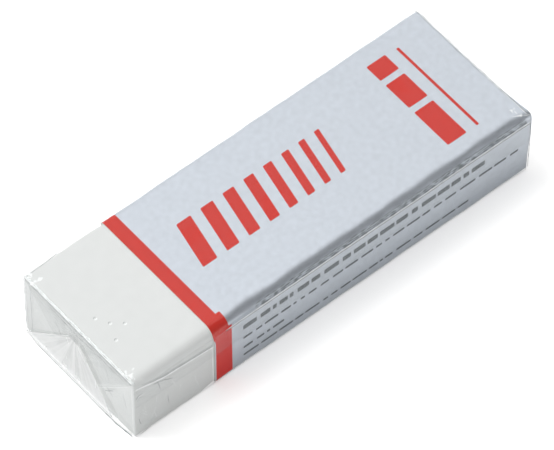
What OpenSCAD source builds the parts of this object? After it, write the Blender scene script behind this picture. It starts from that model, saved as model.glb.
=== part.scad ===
// Vinyl eraser: an extruded block in a printed card sleeve, over-wrapped in one sheet of clear film.
// The origin is the middle of the underside. X runs along the length, with the bare vinyl end
// at -X and the covered end at +X. Y runs across the width and Z is up.

/* [Vinyl block] */
// Length of the block
block_l = 64.3; // [60:0.1:90]
// Width of the block
block_w = 21.7; // [16:0.1:32]
// Height of the block
block_h = 11.2; // [8:0.1:18]
// Radius along the four long edges
block_r = 1; // [0.3:0.05:2]

/* [Card sleeve] */
// Length of the sleeve, which ends flush with the block's far end
sleeve_l = 51.7; // [25:0.1:55]
// Thickness of the card
card_t = 0.2; // [0.15:0.05:0.5]
// Gap between the block and the card
card_fit = 0.03; // [0.02:0.01:0.2]
// Width of the red band along the sleeve's open edge
band_w = 2.1; // [1:0.1:8]
// How far the outer panel on the underside stops short of the near side
panel_back = 2.5; // [1:0.1:6]
// How far the glue flap under it stops short of the far side
flap_back = 3; // [1:0.1:8]

/* [Film wrap] */
// Thickness of the film
film_t = 0.04; // [0.02:0.01:0.08]
// Gap between the film and what it covers
film_fit = 0.03; // [0.02:0.01:0.1]
// How far the film is drawn in towards the bare end, on each of the four sides
film_draw = 0.2; // [0:0.02:0.22]
// Air between the plies of a folded end
ply_gap = 0.03; // [0.02:0.01:0.1]
// Least distance that an end flap stops short of the opposite long edge
flap_stop = 1; // [0.5:0.1:4]
// Least width of an end flap's nose
nose_w = 1.8; // [0.5:0.1:8]
// How far the lower flap's nose sits off the middle, towards the far long side
nose_shift = 1.6; // [-2:0.1:2]
// Width of the sealed lap along the near side
seam_w = 4; // [1.5:0.1:4.5]
// Drop from the end of the rounded edge to the lap's free edge, over the sleeve
seam_drop = 0.1; // [0.05:0.05:0.5]
// Extra drop of that edge over the bare block
seam_dip = 0.9; // [0:0.1:1.2]
// Length over which the rounded edges draw out into sharp corner ears
ear_l = 2.6; // [1:0.1:4]
// Radius left at the corner ears
ear_r = 0.2; // [0.1:0.05:0.4]

/* [Hidden] */

// Facets of a full circle on the round corners, and steps of a quarter turn in the film's corners
round_fn = 64;
arc_steps = 6;
// Overshoot of a cutting shape past the face that it cuts
cut = 1;

// Space inside the sleeve, and the radius of its folds on the inside
bore_w = block_w + 2 * card_fit;
bore_h = block_h + 2 * card_fit;
bore_r = block_r + card_fit;
// Outside of the sleeve. The underside has two layers of card: the glue flap and the outer panel
sleeve_w = bore_w + 2 * card_t;
sleeve_h = bore_h + 3 * card_t;
fold_r = bore_r + card_t;
// Space inside the film over the sleeve, and at the bare end, where it stays clear of the block
wrap_w = sleeve_w + 2 * film_fit;
wrap_h = sleeve_h + 2 * film_fit;
wrap_r = fold_r + film_fit;
bare_w = wrap_w - 2 * film_draw;
bare_h = wrap_h - 2 * film_draw;
bare_r = block_r + film_fit;

// Height of the sleeve's axis, and of the block's, which lies above the doubled underside
mid_z = wrap_h / 2 + film_t;
block_up = card_t / 2;

// Places along the length
block_x0 = -block_l / 2;
block_x1 = block_l / 2;
sleeve_x0 = block_x1 - sleeve_l;
film_x0 = block_x0 - film_fit;
film_x1 = block_x1 + film_fit;
// Distance from one ply of a fold to the next
pitch = film_t + ply_gap;

// A rectangle with round corners, centred
module round_bar(w, h, r) {
    square([w - 2 * r, h], center = true);
    square([w, h - 2 * r], center = true);
    for (sy = [-1, 1], sz = [-1, 1])
        translate([sy * (w / 2 - r), sz * (h / 2 - r)])
            circle(r = r, $fn = round_fn);
}

// Sweeps a section, drawn across and up about the sleeve's axis, from x0 to x1
module along_x(x0, x1) {
    translate([x0, 0, mid_z])
        rotate([90, 0, 90])
            linear_extrude(x1 - x0)
                children();
}

// The block: one extruded bar, cut square at both ends
module eraser_block() {
    color("white")
        along_x(block_x0, block_x1)
            translate([0, block_up])
                round_bar(block_w, block_h, block_r);
}

// The inner turn of the sleeve: top, both sides and the glue flap across the underside
module inner_turn() {
    translate([0, block_up])
        difference() {
            round_bar(sleeve_w, bore_h + 2 * card_t, fold_r);
            round_bar(bore_w, bore_h, bore_r);
            translate([bore_w / 2 - flap_back, -bore_h / 2 - card_t - cut])
                square([flap_back + card_t + cut, card_t + cut + bore_r]);
        }
}

// The outer panel, folded in from the far side and glued to the flap
module outer_panel() {
    intersection() {
        difference() {
            round_bar(sleeve_w, sleeve_h, fold_r);
            round_bar(bore_w, sleeve_h - 2 * card_t, bore_r);
        }
        translate([panel_back - sleeve_w / 2, -sleeve_h / 2 - cut])
            square([sleeve_w - panel_back + cut, sleeve_h / 2 + cut]);
    }
}

// The sleeve's section: one card strip, folded four times and glued flap to panel
module sleeve_section() {
    inner_turn();
    outer_panel();
}

// The sleeve, with the red band printed along its open edge
module card_sleeve() {
    color("firebrick")
        along_x(sleeve_x0, sleeve_x0 + band_w)
            sleeve_section();
    color("lightsteelblue")
        along_x(sleeve_x0 + band_w, block_x1)
            sleeve_section();
}

// Points of a quarter turn about a corner's centre, starting at the given angle
function quarter(cy, cz, r, from) = [
    for (i = [0 : arc_steps])
        let (a = from + 90 * i / arc_steps)
        [cy + r * cos(a), cz + r * sin(a)]
];

// A section of the film: [x, width, height, corner radius, drop of the lap's free edge].
// Its outline runs anticlockwise from the far side, and stands proud by lap along the seam
function outline(s, grow, lap) =
    let (
        w = s[1] / 2 + grow,
        h = s[2] / 2 + grow,
        r = s[3] + grow,
        top = s[2] / 2 - wrap_r - s[4],
        proud = [0, lap, lap, 0],
        down = [0, film_t, seam_w - film_t, seam_w]
    )
    [
        for (p = concat(
            quarter(w - r, h - r, r, 0),
            quarter(r - w, h - r, r, 90),
            [for (i = [0 : 3]) [-w - proud[i], top - down[i]]],
            quarter(r - w, r - h, r, 180),
            quarter(w - r, r - h, r, 270)
        ))
        [s[0], p[0], p[1]]
    ];

// Faces between neighbouring rings of n points, and the same turned inside out
function walls(first, rings, n) = [
    for (k = [0 : rings - 2], i = [0 : n - 1])
        let (a = first + k * n + i, b = first + k * n + (i + 1) % n)
        each [[a, a + n, b], [b, a + n, b + n]]
];
function turned(faces) = [for (f = faces) [f[2], f[1], f[0]]];

// Faces of the flat rim between the outer and the inner outline of one section
function rim(outer, inner, n) = [
    for (i = [0 : n - 1])
        let (j = (i + 1) % n)
        each [[outer + i, outer + j, inner + j], [outer + i, inner + j, inner + i]]
];

// A tube of one wall, lofted through a list of sections
module loft_tube(sections, wall, lap) {
    outside = [for (s = sections) outline(s, wall, lap)];
    inside = [for (s = sections) outline(s, 0, 0)];
    rings = len(sections);
    n = len(outside[0]);
    inner = rings * n;
    last = inner - n;
    translate([0, 0, mid_z])
        polyhedron(
            [for (one = concat(outside, inside)) each one],
            concat(
                walls(0, rings, n),
                turned(walls(inner, rings, n)),
                rim(0, inner, n),
                turned(rim(last, inner + last, n))
            )
        );
}

// The film over the sleeve, at x, and where it is drawn in at the bare end
function over_sleeve(x, r) = [x, wrap_w, wrap_h, r, seam_drop];
function drawn_in(x, r) = [x, bare_w, bare_h, r, seam_drop + seam_dip / 2];

// The film's sections along the length. At each end they run on past the first ply of the fold
function film_sections() =
    let (
        edge = over_sleeve(sleeve_x0 - film_fit, wrap_r),
        tip = drawn_in(film_x0, bare_r),
        ear = edge + (tip - edge) * (1 - ear_l / (edge[0] - tip[0]))
    )
    [
        drawn_in(film_x0 - film_t, ear_r),
        drawn_in(film_x0, ear_r),
        ear,
        edge + [-film_fit, 0, 0, 0, seam_dip],
        edge,
        over_sleeve(film_x1 - ear_l, wrap_r),
        over_sleeve(film_x1, ear_r),
        over_sleeve(film_x1 + film_t, ear_r)
    ];

// The film round the girth: one ply, and two where the lap is sealed along the near side
module film_tube() {
    loft_tube(film_sections(), film_t, film_t);
}

// One ply of an end fold, drawn across and up: how many plies lie under it, and how many it spans
module ply(level, span = 0) {
    translate([level * pitch, 0, 0])
        rotate([90, 0, 90])
            linear_extrude(span * pitch + film_t)
                children();
}

// A crease that joins two plies: a strip one film thick from a to b, on the left of that line
module crease(a, b) {
    run = b - a;
    side = [-run[1], run[0]] * film_t / norm(run);
    polygon([a, b, b + side, a + side]);
}

// One side of an end fold, at y = -w/2: the tuck, and the gussets that join it to both flaps.
// Upper and lower are the corners of the flaps' noses that lie on the tuck's inner edge
module side_tuck(w, h, upper, lower) {
    left = -w / 2;
    high = h / 2 - pitch;
    top_start = [left + ear_r, high];
    low_start = [left + ear_r, -high];
    ply(0)
        polygon([[left, high], [left, -high], [lower[0], -high], [upper[0], high]]);
    ply(0, 1)
        crease([upper[0], high], top_start);
    ply(1)
        polygon([top_start, upper, [upper[0], high]]);
    ply(1, 1)
        crease(top_start, upper);
    ply(0, 3)
        crease(low_start, [lower[0], -high]);
    ply(3)
        polygon([low_start, [lower[0], -high], lower]);
    ply(3, 1)
        crease(lower, low_start);
}

// A flap from one long edge of the end, with its nose between the points a and b
module flap(w, edge, a, b) {
    polygon([[-w / 2, edge], [w / 2, edge], b, a]);
}

// A closed end: the sides are tucked in first, then the top flap comes down over them,
// and last the bottom flap comes up over that. The film runs past the end by depth, as far as
// the end's height and width allow. Drawn outwards along +X from the tube's end
module envelope_fold(w, h) {
    depth = min(h - flap_stop, (w - nose_w) / 2);
    reach = depth - pitch;
    near = depth - w / 2;
    far = w / 2 - depth;
    upper = h / 2 - reach;
    lower = reach - h / 2;
    for (side = [1, -1])
        mirror([0, side < 0 ? 1 : 0, 0])
            side_tuck(w, h, [near, upper], [near + side * nose_shift, lower]);
    ply(0, 2)
        translate([ear_r - w / 2, h / 2 - film_t])
            square([w - 2 * ear_r, film_t]);
    ply(2)
        flap(w - 2 * ear_r, h / 2, [near, upper], [far, upper]);
    ply(0, 4)
        translate([ear_r - w / 2, -h / 2])
            square([w - 2 * ear_r, film_t]);
    ply(4)
        flap(w - 2 * ear_r, -h / 2, [near + nose_shift, lower], [far + nose_shift, lower]);
}

// The wrap: one sheet, sealed into a tube along the near side and folded shut at both ends
module film_wrap() {
    color("lightcyan", 0.3) {
        film_tube();
        translate([film_x0, 0, mid_z])
            mirror([1, 0, 0])
                envelope_fold(bare_w + 2 * film_t, bare_h + 2 * film_t);
        translate([film_x1, 0, mid_z])
            envelope_fold(wrap_w + 2 * film_t, wrap_h + 2 * film_t);
    }
}

eraser_block();
card_sleeve();
film_wrap();
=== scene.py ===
"""A vinyl eraser in a printed card sleeve and a clear film wrap, staged as in the reference photo."""

import math

import bpy
import numpy as np
from mathutils import Matrix, Vector


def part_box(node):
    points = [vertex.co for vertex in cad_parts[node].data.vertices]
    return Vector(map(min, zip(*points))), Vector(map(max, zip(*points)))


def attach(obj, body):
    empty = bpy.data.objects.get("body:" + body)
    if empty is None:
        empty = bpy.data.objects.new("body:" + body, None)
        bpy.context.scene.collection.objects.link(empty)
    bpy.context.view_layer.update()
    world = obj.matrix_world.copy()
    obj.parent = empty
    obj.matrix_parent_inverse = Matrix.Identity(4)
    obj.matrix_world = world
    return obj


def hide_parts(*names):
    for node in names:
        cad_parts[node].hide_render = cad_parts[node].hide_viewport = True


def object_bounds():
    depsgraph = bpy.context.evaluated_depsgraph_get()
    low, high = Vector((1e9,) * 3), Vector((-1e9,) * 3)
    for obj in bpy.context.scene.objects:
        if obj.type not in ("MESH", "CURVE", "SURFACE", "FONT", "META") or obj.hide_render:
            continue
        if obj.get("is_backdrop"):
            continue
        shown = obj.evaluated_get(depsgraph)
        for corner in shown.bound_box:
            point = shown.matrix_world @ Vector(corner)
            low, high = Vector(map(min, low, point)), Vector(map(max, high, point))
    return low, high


MM = 0.001

# Sheet thicknesses and gaps in millimetres, as in the CAD source
CARD = 0.2
CARD_FIT = 0.03
FILM = 0.04
FILM_FIT = 0.03
PITCH = 0.07
# Radii of the card's folds, of the block's edges inside it and of its bare edges. They are smaller
# than the solids', as in the photo
CARD_FOLD = 0.8
BLOCK_EDGE = 0.57
BARE_EDGE = 0.3
# How much rounder the near top edge is, where the card is folded over loosely
LOOSE = 0.8
# Where along the length that fold starts to tighten towards the far end. It does so over the
# length of the film's ears, which stand out at both its ends
TIGHT_FROM = 29.6
EAR = 2.6
# How much lower the soft block hangs where it is bare
SAG = 0.3
# About how far the glue flap stops short of the underside's far fold, and the outer panel of the
# near side
FLAP_BACK = 3.0
PANEL_BACK = 2.5
# About half the flat width of the underside, which turns millimetres there into stations
FLAT_HALF = 9.5
# How far the film is drawn in at the bare end, and the radius at which it bends over the ends
DRAW = 0.2
BEND = 0.22
# How far the far end's near top corner stands out: the film's, and that of the card and the block
LEAN = 0.4
CARD_LEAN = 0.66
# The lean fades out over this length along the block, and grows over these across it and up it
LEAN_RUN = 4.0
LEAN_ACROSS = 11.0
LEAN_UP = 10.0
# Height of the finely divided strip along the lap's free edge, and how far inside the sleeve's open
# edge it starts to show bright
EDGE_STRIP = 0.6
LAP_SHOWS = 2.1
# Height of the lap's free edge, and how many stations lead up the outer ply to it
LAP_EDGE = 10.68
LAP_N = 35

# The band along the sleeve's open edge, and how far its ink is out of register: its outer edge
# low on the near side, its inner edge there, and its inner edge over the rounding
BAND = 1.97
SLIP_OUT = 0.15
SLIP_IN = 1.05
SLIP_OVER = 0.6
# The outer edge slips below SLIP_LOW, and below the next height the band on the near side takes a
# lighter copy of the red ink, painted light
SLIP_LOW = 9.6
LIGHTER_RED_BELOW = 10.6
# How far the sleeve's open edge stands back low on the near side, and forward elsewhere
SKEW = 0.3
EARLY = 0.1
# The height where the near side begins, from which the skew grows downwards over SKEW_FADE
SIDE_TOP = 10.9
SKEW_FADE = 2.4

# The print on the top: slanted bars, patches and a rule. Then the rows of dashes on the near side,
# each with its height, thickness and end. INK is how far all of it stands out
INK = 0.008
BAR_WIDTHS = (2.3, 2.0, 1.8, 1.6, 1.4, 1.2, 1.0, 0.8)
BAR_START = -14.3
BAR_GAP = 1.6
BAR_Y = (-2.7, 4.5)
BAR_SLANT = 1.5
PATCH_LENGTHS = (6.6, 4.6, 2.8)
PATCH_GAP = 1.0
PATCH_X = (21.4, 24.5)
RULE_X = (26.2, 26.6)
RULE_Y = (-8.0, 7.8)
DASH_START = -14.8
DASH_ROWS = ((7.9, 0.85, 25.5), (5.85, 0.38, 31.0), (3.8, 0.38, -7.6), (2.25, 0.32, 22.4))

# Colours
VINYL = (0.735, 0.75, 0.742)
SILVER = (0.57, 0.61, 0.665)
RED = (0.57, 0.022, 0.012)
# A lighter copy of the red, painted light on the band's near side
RED_PAINTED_LIGHTER = (0.67, 0.014, 0.008)
GREY = (0.1, 0.115, 0.13)
CARD_BACK = (0.74, 0.73, 0.7)
FILM_TINT = (0.45, 0.48, 0.48)
FOLD_TINT = (0.82, 0.85, 0.85)
# The bottom flap's white haze: painted sheen
FLAP_PAINTED_SHEEN = (0.95, 0.96, 0.96)
# The top flap's dark film: painted shade, denser towards its top edge
COVER_PAINTED_SHADE = (0.25, 0.28, 0.28)
# Painted glints and painted shade lines along the film's creases and rims
GLINT_PAINT = (0.9, 0.92, 0.92)
SHADE_PAINT = (0.2, 0.22, 0.23)
# The painted highlight along the film's sealed edge, and the painted shade line under it
EDGE_LIGHT = (0.97, 0.98, 0.98)
EDGE_DARK = (0.1, 0.11, 0.12)
# Whiteness of the floor, its own light, the light from all round and the grey of the dark board
FLOOR_WHITE = 0.86
FLOOR_GLOW = 0.42
WORLD_FILL = 0.56
FLAG_GREY = 0.05
# The width of the floor round the object that stays dim in gloss, where the object shades it
NEAR_FLOOR = 6.0

# Heights of the fine relief, in metres
SOFT_RELIEF = 0.00002
INK_RELIEF = 0.000008
THIN_RELIEF = 0.000005
FILM_RELIEF = 0.00003
FOLD_RELIEF = 0.00004

# The camera that matches the photo
CAMERA_AT = (-340.726, -415.252, 754.669)
CAMERA_TURN = -39.36
CAMERA_TILT = 54.37
CAMERA_ROLL = -0.55
LENS = 473.5
SENSOR = 36.0


# Noise and small shape helpers


def soft_noise(u, v, seed, octaves=3):
    """Smooth noise of about -1 to 1 at u and v, which count its coarsest waves."""
    rng = np.random.default_rng(seed)
    total = 0.0 * (u + v)
    for k in range(octaves):
        scale = 2.0**k
        for _ in range(5):
            turn = rng.uniform(0, 2 * math.pi)
            phase = rng.uniform(0, 2 * math.pi)
            pace = scale * rng.uniform(0.6, 1.4)
            wave = pace * (u * math.cos(turn) + v * math.sin(turn))
            total = total + np.sin(2 * math.pi * wave + phase) / scale
    return total / 5


def ridge(u, v, start, end, width):
    """Height from 0 to 1 of a crease that runs from start to end over the grid u, v."""
    run = np.subtract(end, start)
    length = np.hypot(*run)
    along = ((u - start[0]) * run[0] + (v - start[1]) * run[1]) / length
    off = ((v - start[1]) * run[0] - (u - start[0]) * run[1]) / length
    fade = np.clip(along / width, 0, 1) * np.clip((length - along) / width, 0, 1)
    return np.exp(-((off / width) ** 2)) * fade


def smooth(t):
    """Eases from 0 to 1 as t goes from 0 to 1."""
    t = np.clip(t, 0, 1)
    return t * t * (3 - 2 * t)


def steps(lo, hi, n):
    """n even steps from lo to hi, without hi."""
    return np.linspace(lo, hi, n, endpoint=False)


# Sections: each station is (a, b, cosine, sine) on a bar with round corners


def flat(side, start, end, n):
    """Stations along one flat side, from start to end of it. The side is an angle in degrees."""
    c = round(math.cos(math.radians(side)))
    s = round(math.sin(math.radians(side)))
    t = steps(start, end, n)
    a = np.full(n, float(c)) if c else t
    b = np.full(n, float(s)) if s else t
    return np.stack([a, b, np.full(n, float(c)), np.full(n, float(s))], 1)


def corner(a, b, start, end, n):
    """Stations round the corner a, b, from the angle start to the angle end."""
    t = np.radians(steps(start, end, n))
    return np.stack([np.full(n, float(a)), np.full(n, float(b)), np.cos(t), np.sin(t)], 1)


def full_turn(long_n, short_n, round_n):
    """Stations once round the bar, from the low end of the near side over the top."""
    return np.concatenate([
        flat(180, -1, 1, short_n),
        corner(-1, 1, 180, 90, round_n),
        flat(90, -1, 1, long_n),
        corner(1, 1, 90, 0, round_n),
        flat(0, 1, -1, short_n),
        corner(1, -1, 0, -90, round_n),
        flat(-90, 1, -1, long_n),
        corner(-1, -1, -90, -180, round_n),
    ])


def place(st, x, w, h, r, mid, loose):
    """Points and normals of the stations on sections of width w, height h and radius r at x.

    The near top corner's radius is larger by loose.
    """
    x, w, h, r, mid, loose = (np.asarray(v, float).reshape(-1, 1) for v in (x, w, h, r, mid, loose))
    zero = 0 * x + 0 * st[:, 0]
    r = r + loose * np.clip(-st[:, 0], 0, 1) * np.clip(st[:, 1], 0, 1)
    y = st[:, 0] * (w / 2 - r) + st[:, 2] * r + zero
    z = st[:, 1] * (h / 2 - r) + st[:, 3] * r + mid + zero
    points = np.stack([x + zero, y, z], 2)
    normals = np.stack([zero, zero + st[:, 2], zero + st[:, 3]], 2)
    return points, normals


# Meshes


def grid_quads(index):
    """Quads between the neighbours in a grid of point numbers."""
    corners = (index[:-1, :-1], index[:-1, 1:], index[1:, 1:], index[1:, :-1])
    return np.stack([c.ravel() for c in corners], 1)


def faced_out(verts, quads):
    """The quads of a closed shape as lists, turned to face outwards."""
    p = verts[quads]
    volume = np.einsum("ij,ij->", p[:, 0], np.cross(p[:, 1] - p[:, 0], p[:, 2] - p[:, 0]))
    volume += np.einsum("ij,ij->", p[:, 0], np.cross(p[:, 2] - p[:, 0], p[:, 3] - p[:, 0]))
    return (quads[:, ::-1] if volume < 0 else quads).tolist()


def shell(outer, inner):
    """Vertices and faces of a closed thin shell between two grids of points."""
    rows, cols = outer.shape[:2]
    count = rows * cols
    index = np.arange(count).reshape(rows, cols)
    quads = grid_quads(index)
    faces = [quads, quads[:, ::-1] + count]
    rims = ((index[0], True), (index[-1], False), (index[:, 0], False), (index[:, -1], True))
    for rim, turned in rims:
        a, b = (rim[1:], rim[:-1]) if turned else (rim[:-1], rim[1:])
        faces.append(np.stack([a, b, b + count, a + count], 1))
    verts = np.concatenate([outer.reshape(-1, 3), inner.reshape(-1, 3)])
    return verts, faced_out(verts, np.concatenate(faces))


def grid_normals(grid):
    """Unit normals of a grid of points."""
    n = np.cross(*np.gradient(grid, axis=(0, 1)))
    return n / np.maximum(np.linalg.norm(n, axis=2, keepdims=True), 1e-12)


def sheet_of(grid, thick, outward):
    """A shell of even thickness whose first face is the grid, and which grows away from outward."""
    normals = grid_normals(grid)
    if normals[:, :, 0].mean() * outward < 0:
        normals = -normals
    return shell(grid, grid - normals * thick)


def merged(parts):
    """One list of vertices and faces from several."""
    verts, faces, start = [], [], 0
    for v, f in parts:
        verts.append(v)
        faces += [[i + start for i in one] for one in f]
        start += len(v)
    return np.concatenate(verts), faces


def linked(name, data):
    """A new object in the scene with the data."""
    obj = bpy.data.objects.new(name, data)
    bpy.context.scene.collection.objects.link(obj)
    return obj


def piece(name, part, materials, angle, choose=None):
    """A mesh object in the row frame from vertices in millimetres, riding on the object."""
    verts, faces = part
    mesh = bpy.data.meshes.new(name)
    mesh.from_pydata((verts * MM).tolist(), [], faces)
    mesh.polygons.foreach_set("use_smooth", [True] * len(mesh.polygons))
    for material in materials:
        mesh.materials.append(material)
    if choose is not None:
        mesh.polygons.foreach_set("material_index", choose(verts, faces))
    mesh.set_sharp_from_angle(angle=math.radians(angle))
    mesh.update()
    obj = linked(name, mesh)
    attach(obj, "root")
    return obj


# Materials


def new_material(name, color, roughness, metallic=0.0, alpha=1.0):
    """A Principled material with its constants on the shader's own sockets."""
    material = bpy.data.materials.new(name)
    material.use_nodes = True
    shader = material.node_tree.nodes["Principled BSDF"]
    shader.inputs["Base Color"].default_value = (*color, 1)
    shader.inputs["Roughness"].default_value = roughness
    shader.inputs["Metallic"].default_value = metallic
    shader.inputs["Alpha"].default_value = alpha
    return material, shader


def object_noise(tree, scale, detail):
    """Noise fixed to the object, as a node output."""
    coords = tree.nodes.new("ShaderNodeTexCoord")
    noise = tree.nodes.new("ShaderNodeTexNoise")
    noise.inputs["Scale"].default_value = scale
    noise.inputs["Detail"].default_value = detail
    tree.links.new(coords.outputs["Object"], noise.inputs["Vector"])
    return noise.outputs["Fac"]


def object_axes(tree):
    """The X, Y and Z outputs of the object's own coordinates."""
    coords = tree.nodes.new("ShaderNodeTexCoord")
    split = tree.nodes.new("ShaderNodeSeparateXYZ")
    tree.links.new(coords.outputs["Object"], split.inputs[0])
    return split.outputs


def math_node(tree, operation, *values):
    """The output of a math node whose inputs are sockets or numbers."""
    node = tree.nodes.new("ShaderNodeMath")
    node.operation = operation
    for socket, value in zip(node.inputs, values):
        if isinstance(value, (int, float)):
            socket.default_value = value
        else:
            tree.links.new(value, socket)
    return node.outputs[0]


def ramped(tree, value, span, low, high):
    """A node output that goes from low to high while the value crosses the span."""
    node = tree.nodes.new("ShaderNodeMapRange")
    node.inputs["From Min"].default_value = span[0]
    node.inputs["From Max"].default_value = span[1]
    node.inputs["To Min"].default_value = low
    node.inputs["To Max"].default_value = high
    tree.links.new(value, node.inputs["Value"])
    return node.outputs["Result"]


def vary(tree, value, socket, low, high):
    """Drives a number on the shader between low and high by a noise value."""
    tree.links.new(ramped(tree, value, (0.3, 0.7), low, high), socket)


def tone(tree, value, socket, low, high):
    """Drives a colour on the shader between two close tones by a noise value."""
    ramp = tree.nodes.new("ShaderNodeValToRGB")
    ramp.color_ramp.elements[0].position = 0.3
    ramp.color_ramp.elements[0].color = (*low, 1)
    ramp.color_ramp.elements[1].position = 0.7
    ramp.color_ramp.elements[1].color = (*high, 1)
    tree.links.new(value, ramp.inputs["Fac"])
    tree.links.new(ramp.outputs["Color"], socket)


def bump(tree, shader, value, distance, strength):
    """Adds fine relief from a noise value."""
    node = tree.nodes.new("ShaderNodeBump")
    node.inputs["Distance"].default_value = distance
    node.inputs["Strength"].default_value = strength
    tree.links.new(value, node.inputs["Height"])
    tree.links.new(node.outputs["Normal"], shader.inputs["Normal"])


def shade(color, factor):
    """The colour made darker or lighter by a factor."""
    return tuple(min(c * factor, 1) for c in color)


def surfaced(name, color, spread, roughness, metallic, scale, relief, gloss=0.5):
    """A finished opaque material: mottled colour, varied roughness and fine relief."""
    material, shader = new_material(name, color, roughness, metallic)
    shader.inputs["Specular IOR Level"].default_value = gloss
    tree = material.node_tree
    broad = object_noise(tree, scale * 0.25, 5)
    fine = object_noise(tree, scale, 4)
    tone(tree, broad, shader.inputs["Base Color"], shade(color, 1 - spread), shade(color, 1 + spread))
    vary(tree, fine, shader.inputs["Roughness"], roughness - 0.04, roughness + 0.04)
    bump(tree, shader, fine, relief, 0.4)
    return material


def clear_film(name, tint, roughness, facing_on, edge_on, scale, relief):
    """Clear film: a faint mirror where it faces the eye, and a stronger one where it is edge on."""
    material, shader = new_material(name, tint, roughness, 1.0)
    tree = material.node_tree
    bump(tree, shader, object_noise(tree, scale, 2), relief, 0.3)
    weight = tree.nodes.new("ShaderNodeLayerWeight")
    weight.inputs["Blend"].default_value = 0.5
    steep = math_node(tree, "POWER", weight.outputs["Facing"], 6.0)
    tree.links.new(ramped(tree, steep, (0, 1), facing_on, edge_on), shader.inputs["Alpha"])
    material.surface_render_method = "BLENDED"
    return material


def fan_film(name, tint, metallic, centre, haze, climb, gain):
    """Film on a folded end whose haze varies in rays about a centre (across, up), in millimetres:
    painted sheen when the tint is light, painted shade when it is dark.

    haze gives its range, and gain is the extra haze that comes in over the heights in climb.
    """
    material, shader = new_material(name, tint, 0.25, metallic)
    tree = material.node_tree
    bump(tree, shader, object_noise(tree, 1000, 2), FOLD_RELIEF, 0.3)
    axes = object_axes(tree)
    across = math_node(tree, "SUBTRACT", axes["Y"], centre[0] * MM)
    up = math_node(tree, "SUBTRACT", axes["Z"], centre[1] * MM)
    rays = tree.nodes.new("ShaderNodeTexNoise")
    rays.noise_dimensions = "1D"
    rays.inputs["Scale"].default_value = 5.0
    rays.inputs["Detail"].default_value = 4.0
    tree.links.new(math_node(tree, "ARCTAN2", across, up), rays.inputs["W"])
    spread = ramped(tree, rays.outputs["Fac"], (0.35, 0.65), *haze)
    rise = ramped(tree, axes["Z"], (climb[0] * MM, climb[1] * MM), 0.0, gain)
    tree.links.new(math_node(tree, "ADD", spread, rise), shader.inputs["Alpha"])
    material.surface_render_method = "BLENDED"
    return material


def film_line(name, color, roughness, alpha):
    """A line of painted highlight or painted shade along the film's sealed edge, with uneven gloss."""
    material, shader = new_material(name, color, roughness, 0.0, alpha)
    tree = material.node_tree
    fine = object_noise(tree, 900, 3)
    vary(tree, fine, shader.inputs["Roughness"], roughness - 0.05, roughness + 0.05)
    bump(tree, shader, fine, FILM_RELIEF, 0.3)
    material.surface_render_method = "BLENDED"
    return material


def make_materials():
    """Every material of the object, by name."""
    return {
        "vinyl": surfaced("vinyl", VINYL, 0.015, 0.5, 0.0, 3000, SOFT_RELIEF, 0.25),
        "card": surfaced("silver_card", SILVER, 0.045, 0.38, 0.65, 5000, INK_RELIEF),
        "band": surfaced("red_ink", RED, 0.04, 0.45, 0.1, 4000, INK_RELIEF),
        # The band's near side: a lighter copy of the red ink, painted light
        "band_painted_lighter": surfaced("red_ink_painted_lighter", RED_PAINTED_LIGHTER, 0.04, 0.45, 0.0, 4000, INK_RELIEF, 0.15),
        "grey": surfaced("grey_ink", GREY, 0.05, 0.45, 0.1, 4000, THIN_RELIEF),
        "back": surfaced("card_back", CARD_BACK, 0.04, 0.8, 0.0, 2500, SOFT_RELIEF),
        "film": clear_film("film", FILM_TINT, 0.05, 0.022, 0.8, 700, FILM_RELIEF),
        "folds": clear_film("film_folds", FOLD_TINT, 0.1, 0.07, 0.8, 900, FOLD_RELIEF),
        # Ribbons along the film's creases: painted glints and painted shade lines
        "light": surfaced("film_glint_paint", GLINT_PAINT, 0.03, 0.3, 0.0, 3000, THIN_RELIEF),
        "dark": surfaced("film_shade_paint", SHADE_PAINT, 0.05, 0.35, 0.0, 3000, THIN_RELIEF),
        # The film's sealed edge: a painted highlight, with a painted shade line under it
        "painted_edge_highlight": film_line("film_edge_painted_highlight", EDGE_LIGHT, 0.25, 0.85),
        "bead_shadow": film_line("film_edge_shadow", EDGE_DARK, 0.3, 0.4),
    }


def lean_out(points, x1, by=LEAN):
    """Moves the points near the far end outwards, most at its near top corner."""
    near = np.clip(-points[..., 1] / LEAN_ACROSS, 0, 1) ** 2
    fade = np.clip(1 - (x1 - points[..., 0]) / LEAN_RUN, 0, 1)
    points[..., 0] += by * near * fade * smooth((points[..., 2] - 1) / LEAN_UP)
    return points


# The block


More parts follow.
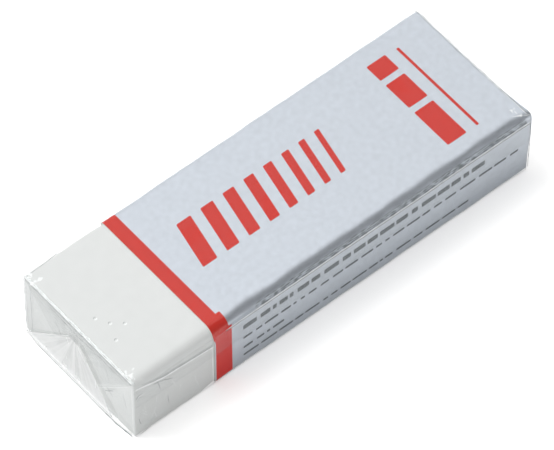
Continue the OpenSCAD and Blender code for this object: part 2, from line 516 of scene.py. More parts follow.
def build_block(sizes, mats):
    """The vinyl bar, with barely eased rims round its cut ends."""
    x0, x1 = sizes["block_x"]
    st = full_turn(26, 14, 8)
    ease = 0.12
    n = 60
    turn = np.radians([0, 22.5, 45, 67.5, 90])
    inset = ease * (1 - np.sin(turn))
    rim = ease * (1 - np.cos(turn))
    x = np.concatenate([x0 + rim, np.linspace(x0 + 1, x1 - 1, n), x1 - rim[::-1]])
    edge = sizes["sleeve_x"][0]
    round_by = BARE_EDGE + (BLOCK_EDGE - BARE_EDGE) * smooth((x - edge + 2) / 2)
    loose = BLOCK_EDGE + LOOSE - round_by
    cut = np.concatenate([inset, np.zeros(n), inset[::-1]])
    sag = SAG * (1 - smooth((x - edge + 1.2) / 1.0))
    w, h = sizes["block_w"], sizes["block_h"] + sag
    mid = sizes["block_mid"] - sag / 2
    points, normals = place(st, x, w - 2 * cut, h - 2 * cut, round_by - cut, mid, loose)
    u = points[:, :, 0] / 9
    v = (points[:, :, 1] + points[:, :, 2]) / 7
    points -= normals * (0.008 * (1 + soft_noise(u, v, 3)))[:, :, None]
    points = lean_out(points, x1, CARD_LEAN)
    rows, cols = points.shape[:2]
    index = np.arange(rows * cols).reshape(rows, cols)
    around = np.concatenate([index, index[:, :1]], 1)
    faces = np.roll(grid_quads(around), -1, axis=1).tolist()
    faces += [index[0].tolist(), index[-1, ::-1].tolist()]
    part = (points.reshape(-1, 3), faces)
    obj = piece("vinyl_block", part, [mats["vinyl"]], 60)
    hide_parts("eraser_block")


# The card sleeve


def fold_radius(x):
    """Outer radius of the card's folds along the length: hand-loose, so it wanders a little."""
    return CARD_FOLD + 0.11 * soft_noise(x / 9, 0 * x, 17)


def loose_fold(x):
    """How much rounder the card's near top fold is along the length."""
    return (LOOSE + 0.22 * soft_noise(x / 7, 0 * x, 19)) * (1 - 0.8 * smooth((x - TIGHT_FROM) / EAR))


def card_ripple(x, st):
    """The card's slight waves in millimetres, hardly any of which rises past its outer face."""
    around = np.arange(len(st)) / len(st) * 9
    wave = soft_noise(x.reshape(-1, 1) / 7, around.reshape(1, -1), 11)
    return 0.012 * (wave - 1)


def sleeve_stations():
    """Stations of the card strip, from the glue flap's edge to the outer panel's, and their drops."""
    flap_a = 1 - FLAP_BACK / FLAT_HALF
    panel_a = -1 + (PANEL_BACK - CARD_FOLD) / FLAT_HALF
    parts = [
        flat(-90, flap_a, -1, 20),
        corner(-1, -1, -90, -180, 10),
        flat(180, -1, 1, 16),
        corner(-1, 1, 180, 90, 12),
        flat(90, -1, 1, 40),
        corner(1, 1, 90, 0, 12),
        flat(0, 1, -1, 16),
        corner(1, -1, 0, -90, 10),
        flat(-90, 1, panel_a, 24),
    ]
    st = np.concatenate(parts)
    sizes = [len(p) for p in parts]
    start = sum(sizes[:6])
    drop = np.zeros(len(st))
    drop[start : start + sizes[6]] = steps(0, 1, sizes[6])
    drop[start + sizes[6] :] = 1
    return st, drop


def build_sleeve(sizes, mats):
    """One folded card strip, glued under the block, with the red band along its open edge."""
    x0, x1 = sizes["sleeve_x"]
    st, drop = sleeve_stations()
    marks = [x0, x0 + SLIP_OUT, x0 + BAND, x0 + BAND + SLIP_OVER, x0 + BAND + SLIP_IN]
    x = np.unique(np.round(np.concatenate([marks, np.linspace(x0 + 3.4, x1, 90)]), 4))
    w = sizes["block_w"] + 2 * (CARD_FIT + CARD)
    h = sizes["block_h"] + 2 * (CARD_FIT + CARD)
    points, normals = place(st, x, w, h, fold_radius(x), sizes["block_mid"], loose_fold(x))
    points[:, :, 2] -= (CARD + 0.004) * drop
    low = (st[:, 0] < 0)[None, :] * smooth((SIDE_TOP - points[:, :, 2]) / SKEW_FADE)
    points[:, :, 0] += SKEW * low * np.clip(1 - (points[:, :, 0] - x0) / 3, 0, 1)
    points = lean_out(points + normals * card_ripple(x, st)[:, :, None], x1, CARD_LEAN)
    part = shell(points, points - normals * CARD)

    def choose(verts, faces):
        """0 for silver, 1 for the red band, 2 for the inside and 3 for the band low on the near side, a
        lighter copy of the red that is painted light.
        """
        mid = np.array([verts[f].mean(0) for f in faces])
        outer = np.array([max(f) < len(verts) // 2 for f in faces])
        near_side = (mid[:, 1] < sizes["slip_y"]) & (mid[:, 2] > 1)
        skew = SKEW * smooth((SIDE_TOP - mid[:, 2]) / SKEW_FADE) * (mid[:, 1] < 0)
        start = np.where(near_side & (mid[:, 2] < SLIP_LOW), SLIP_OUT, 0.0) + 0.8 * skew
        end = BAND + np.where(near_side, np.where(mid[:, 2] > SIDE_TOP, SLIP_OVER, SLIP_IN), 0.0)
        red = (mid[:, 0] > x0 + start) & (mid[:, 0] < x0 + end) & outer
        # Low on the near side the band takes the lighter copy of the red: painted light
        ink = np.where(near_side & (mid[:, 2] < LIGHTER_RED_BELOW), 3, 1)
        return np.where(outer, np.where(red, ink, 0), 2).tolist()

    used = [mats["card"], mats["band"], mats["back"], mats["band_painted_lighter"]]
    obj = piece("card_sleeve_strip", part, used, 50, choose)
    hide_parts("card_sleeve")


# The printed shapes: plain bars, patches and dashes, no lettering


def prism(polygon, axis, low, high):
    """A flat prism over a polygon of (x, other) points, along Y (axis 1) or Z (axis 2)."""
    other = 3 - axis
    n = len(polygon)
    verts = np.zeros((2 * n, 3))
    verts[:, [0, other]] = np.tile(polygon, (2, 1))
    verts[:n, axis] = low
    verts[n:, axis] = high
    faces = [list(range(n)), list(range(2 * n - 1, n - 1, -1))]
    faces += [[i, i + n, (i + 1) % n + n, (i + 1) % n] for i in range(n)]
    centre = verts.mean(0)
    a, b, c = verts[faces[0][:3]]
    if np.dot(np.cross(b - a, c - a), a - centre) < 0:
        faces = [f[::-1] for f in faces]
    return verts, faces


def rounded(x0, x1, y0, y1, slant=0.0, r=0.15):
    """Points of a bar with slightly round corners, leaning by slant from y0 to y1."""
    points = []
    left, right, low, high = x0 + r, x1 - r, y0 + r, y1 - r
    for cx, cy, start in ((right, high, 0), (left, high, 90), (left, low, 180), (right, low, 270)):
        for k in range(4):
            t = math.radians(start + 30 * k)
            y = cy + r * math.sin(t)
            lean = slant * (y - y0) / (y1 - y0)
            points.append((cx + r * math.cos(t) + lean, y))
    return points


def build_print(sizes, mats):
    """The red and grey ink on the top and the near side."""
    top = sizes["card_top"]
    side = sizes["card_near"]
    red = []

    def print_red(shape):
        """Adds one red shape on the top."""
        red.append(prism(shape, 2, top - 0.1, top + INK))

    x = BAR_START
    for width in BAR_WIDTHS:
        print_red(rounded(x, x + width, *BAR_Y, BAR_SLANT))
        x += width + BAR_GAP
    y = RULE_Y[0]
    for length in PATCH_LENGTHS:
        print_red(rounded(*PATCH_X, y, y + length))
        y += length + PATCH_GAP
    print_red(rounded(*RULE_X, *RULE_Y, 0, 0.1))
    piece("red_print", merged(red), [mats["band"]], 30)

    grey = []
    rng = np.random.default_rng(5)
    for z, height, end in DASH_ROWS:
        x = DASH_START
        while x < end:
            stop = min(x + rng.uniform(0.5, 2.6), end)
            if stop - x > 0.35:
                dash = rounded(x, stop, z, z + height, 0, 0.1)
                grey.append(prism(dash, 1, side + 0.1, side - INK))
            x = stop + rng.uniform(0.3, 0.7)
    piece("grey_print", merged(grey), [mats["grey"]], 30)


# The film


def film_sections(sizes):
    """Sections of the film tube: places, widths, heights, radii, middle heights and looseness."""
    x0, x1 = sizes["film_x"]
    edge = sizes["sleeve_x"][0]
    bend = np.radians(np.linspace(75, 0, 7))
    near_x = x0 + BEND * (1 - np.sin(bend))
    near_in = BEND * (1 - np.cos(bend))
    body = np.concatenate([
        steps(x0 + BEND + 0.1, edge - 0.3, 60),
        steps(edge - 0.3, x1 - 3, 110),
        np.linspace(x1 - 3, x1 - BEND - 0.1, 12),
    ])
    far_x = x1 - BEND * (1 - np.sin(bend[::-1]))
    x = np.concatenate([near_x, body, far_x])
    inset = np.concatenate([near_in, 0 * body, near_in[::-1]])
    t = smooth((x - x0 - 0.4) / (edge - x0 - 0.4))
    w = sizes["wrap_w"] - 2 * DRAW * (1 - t) - 2 * inset
    h = sizes["wrap_h"] - DRAW * (1 - t) - 2 * inset
    r = BARE_EDGE + FILM_FIT + (fold_radius(x) - BARE_EDGE) * t
    ear = smooth((x0 + EAR - x) / EAR) + smooth((x - x1 + EAR) / EAR)
    tight = BLOCK_EDGE + LOOSE - BARE_EDGE
    loose = (tight + (loose_fold(x) - tight) * t) * (1 - 0.85 * ear)
    r = r * (1 - 0.4 * ear)
    mid = sizes["wrap_mid"] - DRAW / 2 * (1 - t)
    return x, w, h, r, mid, loose


def seam_height(x, sizes):
    """Height of the lap's free edge on the near side."""
    x0 = sizes["film_x"][0]
    wander = 0.07 * soft_noise(x / 13, 0 * x, 21, 2)
    return LAP_EDGE - 0.5 * smooth((x0 + 9 - x) / 9) + wander - 0.05 * smooth((x - 20) / 12)


def film_stations():
    """Stations once round the girth, from the inner ply's edge over the top to the outer ply's."""
    return np.concatenate([
        flat(180, 0.1, 1, 14),
        corner(-1, 1, 180, 90, 12),
        flat(90, -1, 1, 44),
        corner(1, 1, 90, 0, 10),
        flat(0, 1, -1, 12),
        corner(1, -1, 0, -90, 8),
        flat(-90, 1, -1, 22),
        corner(-1, -1, -90, -180, 8),
        flat(180, -1, 1, LAP_N - 1),
        flat(180, 1, 1, 1),
    ])


def build_film_tube(sizes, mats):
    """The film round the girth, one sheet lapped and sealed along the near side."""
    x, w, h, r, mid, loose = film_sections(sizes)
    st = film_stations()
    points, normals = place(st, x, w, h, r, mid, loose)
    rows, cols = points.shape[:2]
    first = cols - LAP_N
    low = points[:, first, 2]
    high = np.minimum(seam_height(x, sizes), mid + h / 2 - 0.35 * r)
    run = (high - low)[:, None]
    strip = [0.42, 0.28, 0.15, 0]
    plain = LAP_N - len(strip)
    t = np.concatenate([np.linspace(0, 1, plain), np.ones(len(strip))])
    down = np.concatenate([np.full(plain, EDGE_STRIP), strip])
    points[:, first:, 2] = low[:, None] + (run - EDGE_STRIP) * t + (EDGE_STRIP - down)
    z = points[:, :, 2]
    y = points[:, :, 1]
    gx = points[:, :, 0]
    around = np.cumsum(np.linalg.norm(np.diff(points[rows // 2], axis=0), axis=1))
    around = np.concatenate([[0], around]).reshape(1, -1)

    lift = 0.018 * (1 + soft_noise(gx / 11, around / 9, 31))
    lift += 0.010 * (1 + soft_noise(gx / 3, around / 4, 32))
    x0, x1 = sizes["film_x"]
    close = np.exp(-(gx - x0) / 2.2) + np.exp(-(x1 - gx) / 1.6)
    lift += 0.05 * close * (1 + soft_noise(gx / 3.5, around / 1.1, 33))

    near = np.zeros_like(z)
    near[:, first:] = 1
    lift += near * PITCH * smooth((z - (high[:, None] - 4.2)) / 0.6)
    lift += near * 0.05 * smooth((z - high[:, None] + 0.28) / 0.28)
    side_ridges = (
        (0.10, (x0 + 0.3, 10.05), (-19.4, 8.05), 0.35),
        (0.10, (x0 + 0.2, 9.45), (x0 + 3.6, 6.65), 0.22),
        (0.08, (x0 + 0.9, 9.75), (x0 + 4.6, 7.15), 0.22),
        (0.06, (x0 + 0.1, 3.6), (x0 + 5.0, 1.0), 0.3),
        (0.05, (x1 - 0.2, 10.15), (x1 - 5.0, 8.45), 0.3),
    )
    for rise, start, end, width in side_ridges:
        lift += near * rise * ridge(gx, z, start, end, width)
    on_top = (st[:, 3] > 0.99)[None, :] * 1.0
    top_ridges = (
        (0.07, (x0 + 0.1, -9.9), (x0 + 2.6, -7.2)),
        (0.07, (x0 + 0.1, 9.6), (x0 + 2.2, 7.4)),
        (0.05, (x1 - 0.1, -9.7), (x1 - 2.4, -7.4)),
    )
    for rise, start, end in top_ridges:
        lift += on_top * rise * ridge(gx, y, start, end, 0.3)
    for side in (-1, 1):
        lift += on_top * 0.16 * np.exp(-(((gx - x0 - 1.0) / 0.45) ** 2 + ((y - side * 9.7) / 0.8) ** 2))
    under = (st[:, 3] < -0.01)[None, :]
    lift = np.where(under, 0.3 * np.minimum(lift, 0.02), lift)
    points = lean_out(points + normals * lift[:, :, None], x1)
    film = shell(points, points - normals * FILM)

    def choose(verts, faces):
        """1 for the lap's sealed edge over the sleeve, a painted highlight, 2 for the painted shade line
        under it.
        """
        column = np.array([max(i % cols for i in f) for f in faces])
        outer = np.array([max(f) < rows * cols for f in faces])
        middle = np.array([verts[f[0]][0] for f in faces])
        column = np.where(outer & (middle > sizes["sleeve_x"][0] + LAP_SHOWS), column, 0)
        return np.where(column >= cols - 1, 1, np.where(column >= cols - 3, 2, 0)).tolist()

    used = [mats["film"], mats["painted_edge_highlight"], mats["bead_shadow"]]
    return piece("film_tube", film, used, 55, choose)


def to_end(local, x, outward):
    """Turns local points (across, up, outwards) of an end into points of the row frame."""
    across, up, out = np.moveaxis(local, -1, 0)
    return np.stack([x + outward * out, across, up], -1)


def patch(corners, n, out, seed, swell):
    """A flat ply between four corners (across, up), at height out, with slight waves."""
    a, b, c, d = (np.array(p, float) for p in corners)
    u = np.linspace(0, 1, n)[:, None, None]
    v = np.linspace(0, 1, n)[None, :, None]
    flat_grid = (1 - u) * ((1 - v) * a + v * b) + u * ((1 - v) * d + v * c)
    wave = 0.012 * soft_noise(flat_grid[..., 0] / 4, flat_grid[..., 1] / 4, seed)
    bulge = swell * np.sin(math.pi * u[..., 0]) * np.sin(math.pi * v[..., 0])
    return np.concatenate([flat_grid, (out + wave + bulge)[..., None]], 2)


def flap_grid(left, right, edge, tip, out, seed, swell, streaks, bend, puff):
    """A flap that bends over the end from the edge at height edge and narrows to its tip.

    left and right give its sides across at each height, edge and tip are heights, bend is the
    radius at the edge, and puff is how far the flap stands out along it.
    """
    rows = 48
    cols = 72
    toward = 1 if tip > edge else -1
    turn = np.radians(np.linspace(0, 90, 8))
    bend_up = edge + toward * bend * (1 - np.cos(turn))
    bend_out = -BEND + (BEND + out) * np.sin(turn)
    run = np.linspace(edge + toward * bend, tip, rows + 1)[1:]
    up = np.concatenate([bend_up, run])
    lift = np.concatenate([bend_out, np.full(rows, out)])
    t = np.linspace(0, 1, cols)
    lo = np.array([left(z) for z in up])[:, None]
    hi = np.array([right(z) for z in up])[:, None]
    across = lo + (hi - lo) * t
    height = np.broadcast_to(up[:, None], across.shape)
    down = np.abs(height - tip)
    middle = (left(tip) + right(tip)) / 2
    angle = np.arctan2(across - middle, down + 0.6)
    gone = np.abs(height - edge)
    grow = smooth((abs(tip - edge) - down) / 2) * smooth(gone / 1.2)
    wave = 0.012 * soft_noise(across / 5, height / 5, seed)
    wave = wave + streaks * grow * soft_noise(angle * 2.2, 0 * angle, seed + 1, 2)
    belly = swell * smooth(gone / 3) * np.sin(math.pi * t)[None, :]
    belly = belly * smooth(down / 3)
    grown = smooth(gone / 0.8)
    rim = 0.05 * soft_noise(across / 3.2, 0 * across, seed + 2)
    rim = rim * smooth(1 - gone / 1.6)
    bent = np.sin(np.clip(lift + BEND, 0, BEND) / BEND * math.pi / 2)
    stand = puff * bent * smooth(1 - np.abs(up - edge) / 5)
    out_grid = lift[:, None] + wave * grown + belly + rim + stand[:, None]
    return np.stack([across, height, out_grid], 2)


def build_fold(name, mats, x, outward, w, h, mid, shift, seed):
    """A closed end: two side tucks, then the top flap, and the bottom flap outermost."""
    low = mid - h / 2
    high = mid + h / 2
    half = w / 2 - 0.15
    reach = h - 1.2
    near = half - reach
    parts = []

    def add(grid):
        """Adds one ply of film, and gives the number of its faces."""
        placed = to_end(grid, x, outward)
        if outward > 0:
            placed = lean_out(placed, x)
        parts.append(sheet_of(placed, FILM, outward))
        return len(parts[-1][1])

    for side in (-1, 1):
        wide = side * half
        inner = side * near
        tuck = [(wide, low + BEND), (inner, low + BEND), (inner, high - BEND), (wide, high - BEND)]
        add(patch(tuck, 40, 0.02, seed + 2 * side, 0.01))

    def top_left(z):
        """Near side of the top flap at height z."""
        return -half + 0.96 * max(high - BEND - z, 0)

    def top_right(z):
        """Far side of the top flap at height z."""
        return half - 0.96 * max(high - BEND - z, 0)

    tip = high - reach
    top_flap = flap_grid(top_left, top_right, high, tip, 2 * PITCH, seed + 7, 0.03, 0.02, BEND, 0.0)
    over = add(top_flap)

    apex = low + reach * 0.82

    def low_left(z):
        """Near-side crease of the bottom flap at height z."""
        return max(-half, shift - 1.0 - 0.75 * (apex - z))

    def low_right(z):
        """Far-side crease of the bottom flap at height z."""
        return min(half, shift + 1.0 + 1.07 * (apex - z))

    low_flap = flap_grid(low_left, low_right, low, apex, 4 * PITCH, seed + 8, 0.10, 0.035, 0.08, 0.14)
    last = add(low_flap)

    def choose(verts, faces):
        """0 for the side tucks, 1 for the top flap, with its painted shade, and 2 for the bottom one,
        with its painted sheen.
        """
        return [0] * (len(faces) - over - last) + [1] * over + [2] * last

    # The bottom flap's white haze, in rays, is painted sheen of its creases over the real ply
    rays = (shift, apex + 1.0)
    flap = fan_film("film_flap_painted_sheen_" + name, FLAP_PAINTED_SHEEN, 0.0, rays, (0.26, 0.4), (low, low + 0.5), 0.05)
    # The top flap's dark film grows denser towards its top edge: painted shade under the fold
    rays = (shift + 2, mid - 2)
    climb = (high - 4, high - 0.8)
    cover = fan_film("film_cover_painted_shade_" + name, COVER_PAINTED_SHADE, 1.0, rays, (0.02, 0.06), climb, 0.07)
    return piece(name, merged(parts), [mats["folds"], cover, flap], 50, choose)


def crease(path, facing, width):
    """A thin ribbon along a path of points with their widths, flat against the way it faces: one painted
    line of light or shade on the film.
    """
    width[[0, -1]] = 0.01
    along = np.gradient(path, axis=0)
    across = np.cross(along, facing)
    across /= np.linalg.norm(across, axis=1, keepdims=True)
    out = np.cross(across, along)
    out /= np.linalg.norm(out, axis=1, keepdims=True)
    side = across * width[:, None] / 2
    rise = out * 0.01
    ring = np.stack([path + side, path + rise, path - side, path - rise], 1)
    n = len(path)
    verts = ring.reshape(-1, 3)
    faces = []
    for i in range(n - 1):
        for k in range(4):
            a = 4 * i + k
            b = 4 * i + (k + 1) % 4
            faces.append([a, b, b + 4, a + 4])
    faces.append([3, 2, 1, 0])
    faces.append([4 * n - 4, 4 * n - 3, 4 * n - 2, 4 * n - 1])
    return verts, faced_out(verts, np.array(faces))


def through(points, n, wander, seed):
    """n points along a broken line through the points, with a little wander."""
    points = np.array(points, float)
    steps_at = np.concatenate([[0], np.cumsum(np.linalg.norm(np.diff(points, axis=0), axis=1))])
    t = np.linspace(0, steps_at[-1], n)
    line = np.stack([np.interp(t, steps_at, points[:, k]) for k in range(3)], 1)
    for k in range(3):
        line[:, k] += wander * soft_noise(t / 1.7, 0 * t, seed + k)
    return line, t


def build_creases(sizes, mats):
    """Thin ribbons along the film's rims, creases and corners: light ones as painted glints, dark ones
    as painted shade lines.
    """
    x0, x1 = sizes["film_x"]
    edge = sizes["sleeve_x"][0]
    half = sizes["wrap_w"] / 2 + FILM
    top = sizes["wrap_mid"] + sizes["wrap_h"] / 2 + FILM
    near_top = top - DRAW
    light, dark = [], []

    def add(pleats, points, facing, width, n=60, wander=0.0, seed=0, vary_by=0.5):
        """Adds one painted line whose width wanders, and changes evenly where it is a list."""
        line, t = through(points, n, wander, seed)
        width = np.interp(np.linspace(0, 1, n), np.linspace(0, 1, np.size(width)), np.ravel(width))
        wide = width * (1 + vary_by * soft_noise(t / 1.3, 0 * t, seed + 9))
        pleats.append(crease(line, facing, np.maximum(wide, 0.02)))

    rng = np.random.default_rng(8)
    up, end, side = (0, 0, 1), (-1, 0, 0), (0, -1, 0)
    # Along the near end's top edge: a painted highlight, with painted shade lines under it
    brim = x0 - 0.12
    rim = [(brim, half - 0.5, near_top), (brim, 0, near_top - 0.05), (brim, 0.5 - half, near_top - 0.02)]
    add(light, rim, (-0.7, 0, 0.7), 0.13, 160, 0.03, 100, 0.8)
    add(dark, [(p[0] - 0.08, p[1], p[2] - 0.3) for p in rim], end, 0.1, 160, 0.04, 110, 0.8)
    brow = [(brim - 0.1, 6, 10.9), (brim - 0.15, 0, 10.7), (brim - 0.1, -9, 10.9)]
    add(dark, brow, end, 0.1, 120, 0.08, 120, 0.9)
    # Its left, right and bottom rims: painted shade lines, with painted light along the foot and up one
    # rim
    out = x0 - 0.31
    foot = x0 - 0.56
    add(dark, [(brim, half - 0.4, 11.4), (brim, half - 0.45, 0.4)], end, 0.09, 60, 0.02, 130)
    add(dark, [(brim, half - 1.6, 10.8), (brim, half - 1.7, 1.2)], end, 0.05, 60, 0.03, 133)
    sole = [(brim - 0.05, half - 0.45, 0.12), (foot, half - 3, 0.11), (foot, -3, 0.09), (foot, -6, 0.09)]
    add(dark, sole, end, 0.17, 120, 0.01, 136, 0.2)
    heel = [(foot, -5.5, 0.14), (foot, -7.5, 0.16), (out + 0.05, 0.4 - half, 0.25)]
    add(dark, heel, end, 0.26, 60, 0.02, 139, 0.3)
    # A light band along the foot, painted light over the flap's lowest part
    painted_foot_band = [(p[0] + 0.04, p[1] - 0.05, 0.36) for p in sole]
    painted_foot_band += [(foot + 0.06, -7.5, 0.34), (out + 0.1, 0.6 - half, 0.45)]
    add(light, painted_foot_band, end, 0.45, 160, 0.01, 145, 0.1)
    add(light, [(brim, 0.6 - half, 10.8), (brim, 0.55 - half, 0.6)], end, 0.07, 60, 0.02, 142)
    # Creases of the flaps, as painted glints and painted shade lines
    add(light, [(out, 9.6, 0.7), (out, 1.6, 9.0)], end, 0.08, 60, 0.02, 150)
    add(dark, [(out, 9.3, 0.75), (out, 4.5, 5.7)], end, 0.06, 60, 0.02, 153)
    add(dark, [(out, -3.3, 3.9), (out, -5, 2.1), (out, -6.6, 0.3)], end, 0.1, 60, 0.02, 156)
    hem = [(out + 0.1, -3.7, 3.4), (out + 0.1, -6.9, 6.9), (out + 0.15, -9.8, 10.2)]
    add(light, hem, end, 0.06, 60, 0.03, 159, 0.9)
    add(dark, [(out + 0.1, -5.3, 4.5), (out + 0.1, -6.9, 6.2)], end, 0.09, 40, 0.03, 162)
    # On the bare part's near side: the long soft pleat and the small ones under the corner, as painted
    # glints and painted shade lines
    skin = -half + DRAW - 0.1
    long_one = [
        (x0 + 0.1, skin, 10.6),
        (-31, skin, 10.35),
        (-29, skin, 9.7),
        (-27.5, skin, 9.3),
        (-24, skin, 9.0),
        (edge - 0.1, skin - 0.1, 8.75),
    ]
    add(light, long_one, side, 0.26, 120, 0.02, 170, 0.5)
    for k, (up_by, wide) in enumerate(((0.24, 0.1), (0.42, 0.07), (0.6, 0.05))):
        shaded = [(px, py, pz + up_by) for px, py, pz in long_one[1:]]
        add(dark, shaded, side, [0.3 * wide, wide, wide, wide], 120, 0.012, 370 + 3 * k, 0.3)
    add(dark, [(-29.2, skin, 9.35), (-27.6, skin, 8.8), (-26.2, skin, 7.9)], side, 0.08, 40, 0.02, 173)
    add(dark, [(x0 + 0.2, skin, 8.5), (-31.7, skin, 9.1), (-31, skin, 9.0)], side, 0.09, 30, 0.02, 176)
    fold = [(x0 + 0.3, skin, 8.25), (-31.6, skin, 8.8), (-30.9, skin, 8.6)]
    add(light, fold, side, 0.08, 30, 0.02, 179)
    add(dark, [(x0 + 0.3, skin, 8.0), (-31.6, skin, 8.5), (-31, skin, 8.4)], side, 0.06, 30, 0.02, 182)
    for k in range(16):
        px = rng.uniform(x0 + 0.6, edge - 1.5)
        pz = rng.uniform(1.5, 7.5)
        lean = rng.uniform(-1.2, 1.2)
        tall = rng.uniform(0.8, 2.4)
        pleats = dark if k % 6 == 0 else light
        add(pleats, [(px, skin, pz), (px + lean, skin, pz + tall)], side, 0.045, 24, 0.03, 300 + k, 0.6)
    for k in range(18):
        py = rng.uniform(-10, 9)
        pz = rng.uniform(2, 9.5)
        lean = rng.uniform(-1.5, 1.5)
        tall = rng.uniform(0.7, 2.2)
        pleats = light if k % 2 else dark
        ends = [(out - 0.1, py, pz), (out - 0.1, py + lean, pz + tall)]
        add(pleats, ends, end, 0.04, 24, 0.03, 330 + k, 0.6)
    by_card = [(edge - 0.2, skin - 0.05, 9.2), (edge - 0.14, skin - 0.1, 0.5)]
    add(light, by_card, side, 0.14, 60, 0.01, 360, 0.3)
    # The far top edge's outline over the bare part, as painted shade lines
    back = half - DRAW
    outline = [(x0 + 0.1, back - 0.12, near_top - 0.15), (edge, back, near_top)]
    add(dark, outline, (0, 0.7, 0.7), 0.07, 100, 0.02, 190)
    inner = [(x0 + 0.1, back - 0.5, near_top + 0.03), (-27, back - 0.25, near_top + 0.03)]
    add(dark, inner, up, 0.05, 80, 0.02, 193)
    # Glints at three top corners
    corners = ((x0, 9.6, 1, 9, 0.3), (x0, -9.5, 1, 7, 0.24), (x1, -9.9, -1, 5, 0.08))
    for cx, cy, inward, count, wide in corners:
        level = (near_top if inward > 0 else top) + 0.06
        for _ in range(count):
            ax = cx + inward * rng.uniform(0.05, 1.3)
            ay = cy + rng.uniform(-0.9, 0.9)
            turn = rng.uniform(0, math.pi)
            size = rng.uniform(0.25, 0.8)
            tip = (ax + size * math.cos(turn), ay + size * math.sin(turn), level)
            add(light, [(ax, ay, level), tip], up, wide, 8, 0.03, int(rng.integers(900)), 0.6)
    # The far end's top edge, and the outline of its near corner: painted shade lines and painted glints
    far_x = x1 + 0.08
    rim = [
        (far_x + 0.3, -9.4, top - 0.02),
        (far_x + LEAN, 0.1 - half, top - 0.4),
        (far_x + LEAN * 0.8, -half, 8),
        (far_x, -half, 1),
    ]
    add(dark, rim, (1, 0, 0), 0.08, 90, 0.01, 196)
    ear = [(x1 - 1.8, -9.9, top + 0.05), (far_x + 0.2, 0.1 - half, top - 0.1)]
    add(light, ear, up, 0.09, 40, 0.03, 199, 0.8)
    far_rim = x1 + 0.1
    hem = [(far_rim, half - 0.6, top - 0.02), (far_rim, 0.5 - half, top - 0.05)]
    add(dark, hem, up, 0.06, 120, 0.03, 200, 0.9)
    shine = [(far_rim - 0.15, 4, top + 0.02), (far_rim - 0.12, 0.4 - half, top)]
    add(light, shine, up, 0.09, 120, 0.03, 203, 1.0)
    # The lap's sealed edge over the sleeve, a painted highlight between painted shade lines, and the
    # pleats above it as painted shade lines
    along = np.linspace(edge + LAP_SHOWS + 0.2, x1 - 0.3, 12)
    lap = [(x, -half - 0.13, float(seam_height(np.array([x]), sizes)[0])) for x in along]
    add(light, lap, side, 0.12, 200, 0.02, 210, 0.6)
    add(dark, [(x, y, z - 0.17) for x, y, z in lap], side, 0.07, 200, 0.02, 213, 0.8)
    add(dark, [(x, y, z + 0.16) for x, y, z in lap], side, 0.07, 200, 0.03, 216, 0.9)
    above = ((0.36, 0.04, 0.14), (0.6, 0.14, 0.12), (0.8, 0.28, 0.08))
    for k, (up_by, in_by, wide) in enumerate(above):
        raised = [(x, y + in_by, z + up_by) for x, y, z in lap[1:]]
        add(dark, raised, (0, -0.8, 0.6), wide, 240, 0.05, 230 + 10 * k, 1.1)
    # Tiny bubbles on the bare part's top, drawn only as arcs of painted highlight and painted shade
    for bx, by in ((-29.55, -0.05), (-28.6, -1.8), (-27.2, -3.0), (-29.6, -4.25)):
        level = near_top + 0.06
        for pleats, start in ((light, 200), (dark, 20)):
            turn = np.radians(np.linspace(start, start + 150, 9))
            arc = [(bx + 0.2 * math.cos(a), by + 0.2 * math.sin(a), level) for a in turn]
            add(pleats, arc, up, 0.16 if pleats is light else 0.05, 12)
    # The ribbons: painted glints and painted shade lines
    return (
        piece("film_painted_glints", merged(light), [mats["light"]], 30),
        piece("film_painted_shade_lines", merged(dark), [mats["dark"]], 30),
    )


def build_film(sizes, mats):
    """The wrap: one tube and two folded ends."""
    tube = build_film_tube(sizes, mats)
    x0, x1 = sizes["film_x"]
    full_w = sizes["wrap_w"] + 2 * FILM
    full_h = sizes["wrap_h"] + 2 * FILM
    mid = sizes["wrap_mid"]
    near_w, near_h, near_mid = full_w - 2 * DRAW, full_h - DRAW, mid - DRAW / 2
    near = build_fold("film_fold_near", mats, x0, -1, near_w, near_h, near_mid, 0.5, 50)
    far = build_fold("film_fold_far", mats, x1, 1, full_w, full_h, mid, -1.4, 70)
    creases = build_creases(sizes, mats)
    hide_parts("film_wrap")
    for obj in (tube, near, far, *creases):
        obj.visible_shadow = False
        obj.visible_diffuse = False


# Floor, light and camera


def make_board(name, grey, corners):
    """A matt board between four corners in metres, with its node tree and shader."""
    material, shader = new_material(name, (grey, grey, grey), 1.0)
    shader.inputs["Specular IOR Level"].default_value = 0.0
    mesh = bpy.data.meshes.new(name)
    mesh.from_pydata(corners, [], [(0, 1, 2, 3)])
    mesh.materials.append(material)
    return linked(name, mesh), material.node_tree, shader


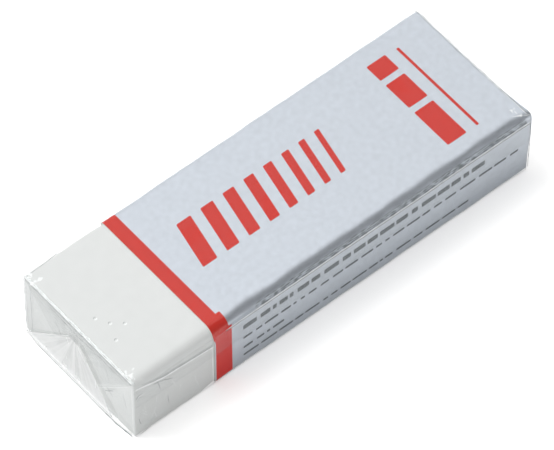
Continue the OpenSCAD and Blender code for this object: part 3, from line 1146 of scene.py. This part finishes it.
def make_floor(box):
    """A pale floor that glows for the camera, and in gloss where it isn't near the object's box."""
    reach = 4.0
    corners = [(-reach, -reach, 0), (reach, -reach, 0), (reach, reach, 0), (-reach, reach, 0)]
    floor, tree, shader = make_board("floor", FLOOR_WHITE, corners)
    shader.inputs["Emission Color"].default_value = (1, 1, 1, 1)
    path = tree.nodes.new("ShaderNodeLightPath").outputs
    axes = object_axes(tree)
    away = []
    for axis, low, high in zip("XY", *box):
        half = max(-low, high)
        span = math_node(tree, "ABSOLUTE", axes[axis])
        away.append(ramped(tree, span, (half, half + NEAR_FLOOR * MM), 0.0, 1.0))
    clear = math_node(tree, "MAXIMUM", *away)
    mirrored = math_node(tree, "MULTIPLY", path["Is Glossy Ray"], clear)
    seen = math_node(tree, "MAXIMUM", path["Is Camera Ray"], mirrored)
    glow = math_node(tree, "MULTIPLY", seen, FLOOR_GLOW)
    tree.links.new(glow, shader.inputs["Emission Strength"])
    floor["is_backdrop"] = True


def make_flag():
    """A dark board in front, which shows only in gloss, as on the round edges."""
    wide, low, high = 0.75, 0.03, 1.7
    corners = [(-wide, 0, low), (wide, 0, low), (wide, 0, high), (-wide, 0, high)]
    flag = make_board("flag", FLAG_GREY, corners)[0]
    flag.location = (0.28, -0.62, 0)
    flag.rotation_euler = (0, 0, math.radians(24))
    flag.visible_camera = False
    flag.visible_diffuse = False
    flag.visible_shadow = False
    flag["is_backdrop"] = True


def make_lamp(name, at, aim, size, power):
    """A square soft lamp at a place, aimed at another."""
    lamp = bpy.data.lights.new(name, "AREA")
    lamp.shape = "SQUARE"
    lamp.size = size
    lamp.energy = power
    obj = linked(name, lamp)
    obj.location = at
    obj.rotation_euler = (Vector(aim) - Vector(at)).to_track_quat("-Z", "Y").to_euler()
    obj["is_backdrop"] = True


def make_world():
    """White for the camera, in gloss and through clear things, and a plain fill for the rest."""
    world = bpy.data.worlds.new("world")
    bpy.context.scene.world = world
    world.use_nodes = True
    tree = world.node_tree
    back = tree.nodes["Background"]
    back.inputs["Color"].default_value = (1, 1, 1, 1)
    path = tree.nodes.new("ShaderNodeLightPath").outputs
    seen = math_node(tree, "MAXIMUM", path["Is Camera Ray"], path["Is Glossy Ray"])
    seen = math_node(tree, "MAXIMUM", seen, path["Is Transmission Ray"])
    tree.links.new(ramped(tree, seen, (0, 1), WORLD_FILL, 1.0), back.inputs["Strength"])


def make_camera():
    """The photo's camera: its place, direction, roll and lens."""
    turn = math.radians(CAMERA_TURN)
    tilt = math.radians(CAMERA_TILT)
    roll = math.radians(CAMERA_ROLL)
    level = math.cos(tilt)
    back = Vector((math.sin(turn) * level, -math.cos(turn) * level, math.sin(tilt)))
    right = Vector((math.cos(turn), math.sin(turn), 0))
    up = back.cross(right)
    x = right * math.cos(roll) + up * math.sin(roll)
    y = up * math.cos(roll) - right * math.sin(roll)
    data = bpy.data.cameras.new("camera")
    data.sensor_fit = "HORIZONTAL"
    data.sensor_width = SENSOR
    data.lens = LENS
    data.clip_start = 0.05
    data.clip_end = 20
    camera = linked("camera", data)
    pose = Matrix((x, y, back)).transposed().to_4x4()
    pose.translation = Vector(CAMERA_AT) * MM
    camera.matrix_world = pose
    bpy.context.scene.camera = camera


def read_sizes():
    """Sizes in millimetres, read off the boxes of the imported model's nodes."""
    block, sleeve = ([np.array(c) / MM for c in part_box(n)] for n in ("eraser_block", "card_sleeve"))
    return {
        "block_x": (block[0][0], block[1][0]),
        "block_w": block[1][1] - block[0][1],
        "block_h": block[1][2] - block[0][2],
        "block_mid": (block[0][2] + block[1][2]) / 2,
        "sleeve_x": (sleeve[0][0] - EARLY, sleeve[1][0]),
        "card_top": sleeve[1][2],
        "card_near": sleeve[0][1],
        "wrap_w": sleeve[1][1] - sleeve[0][1] + 2 * FILM_FIT,
        "wrap_h": sleeve[1][2] - sleeve[0][2] + 2 * FILM_FIT,
        "wrap_mid": (sleeve[0][2] + sleeve[1][2]) / 2,
        "film_x": (block[0][0] - FILM_FIT, block[1][0] + FILM_FIT),
        "slip_y": sleeve[0][1] + 1.9,
    }


def plain_bounds():
    """The bounds as plain lists."""
    return [[float(c) for c in corner_at] for corner_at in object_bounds()]


bpy.ops.wm.read_factory_settings(use_empty=True)
bpy.context.scene.view_settings.view_transform = "Standard"
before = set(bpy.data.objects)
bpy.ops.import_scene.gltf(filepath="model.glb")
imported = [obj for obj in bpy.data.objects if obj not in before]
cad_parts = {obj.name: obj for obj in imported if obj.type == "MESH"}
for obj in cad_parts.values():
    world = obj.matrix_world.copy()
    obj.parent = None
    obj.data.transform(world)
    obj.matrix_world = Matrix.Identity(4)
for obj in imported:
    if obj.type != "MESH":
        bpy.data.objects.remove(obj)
size = {"cad": plain_bounds()}
SIZES = read_sizes()
MATERIALS = make_materials()
build_block(SIZES, MATERIALS)
build_sleeve(SIZES, MATERIALS)
build_print(SIZES, MATERIALS)
build_film(SIZES, MATERIALS)
make_floor(size["cad"])
make_flag()
make_world()
make_lamp("key", at=(-0.3, 0.42, 0.95), aim=(0, 0, 0), size=0.6, power=7.2)
make_lamp("side", at=(0.2, -0.17, 0.06), aim=(0.01, 0, 0.006), size=0.1, power=0.05)
make_camera()
size["looks"] = plain_bounds()
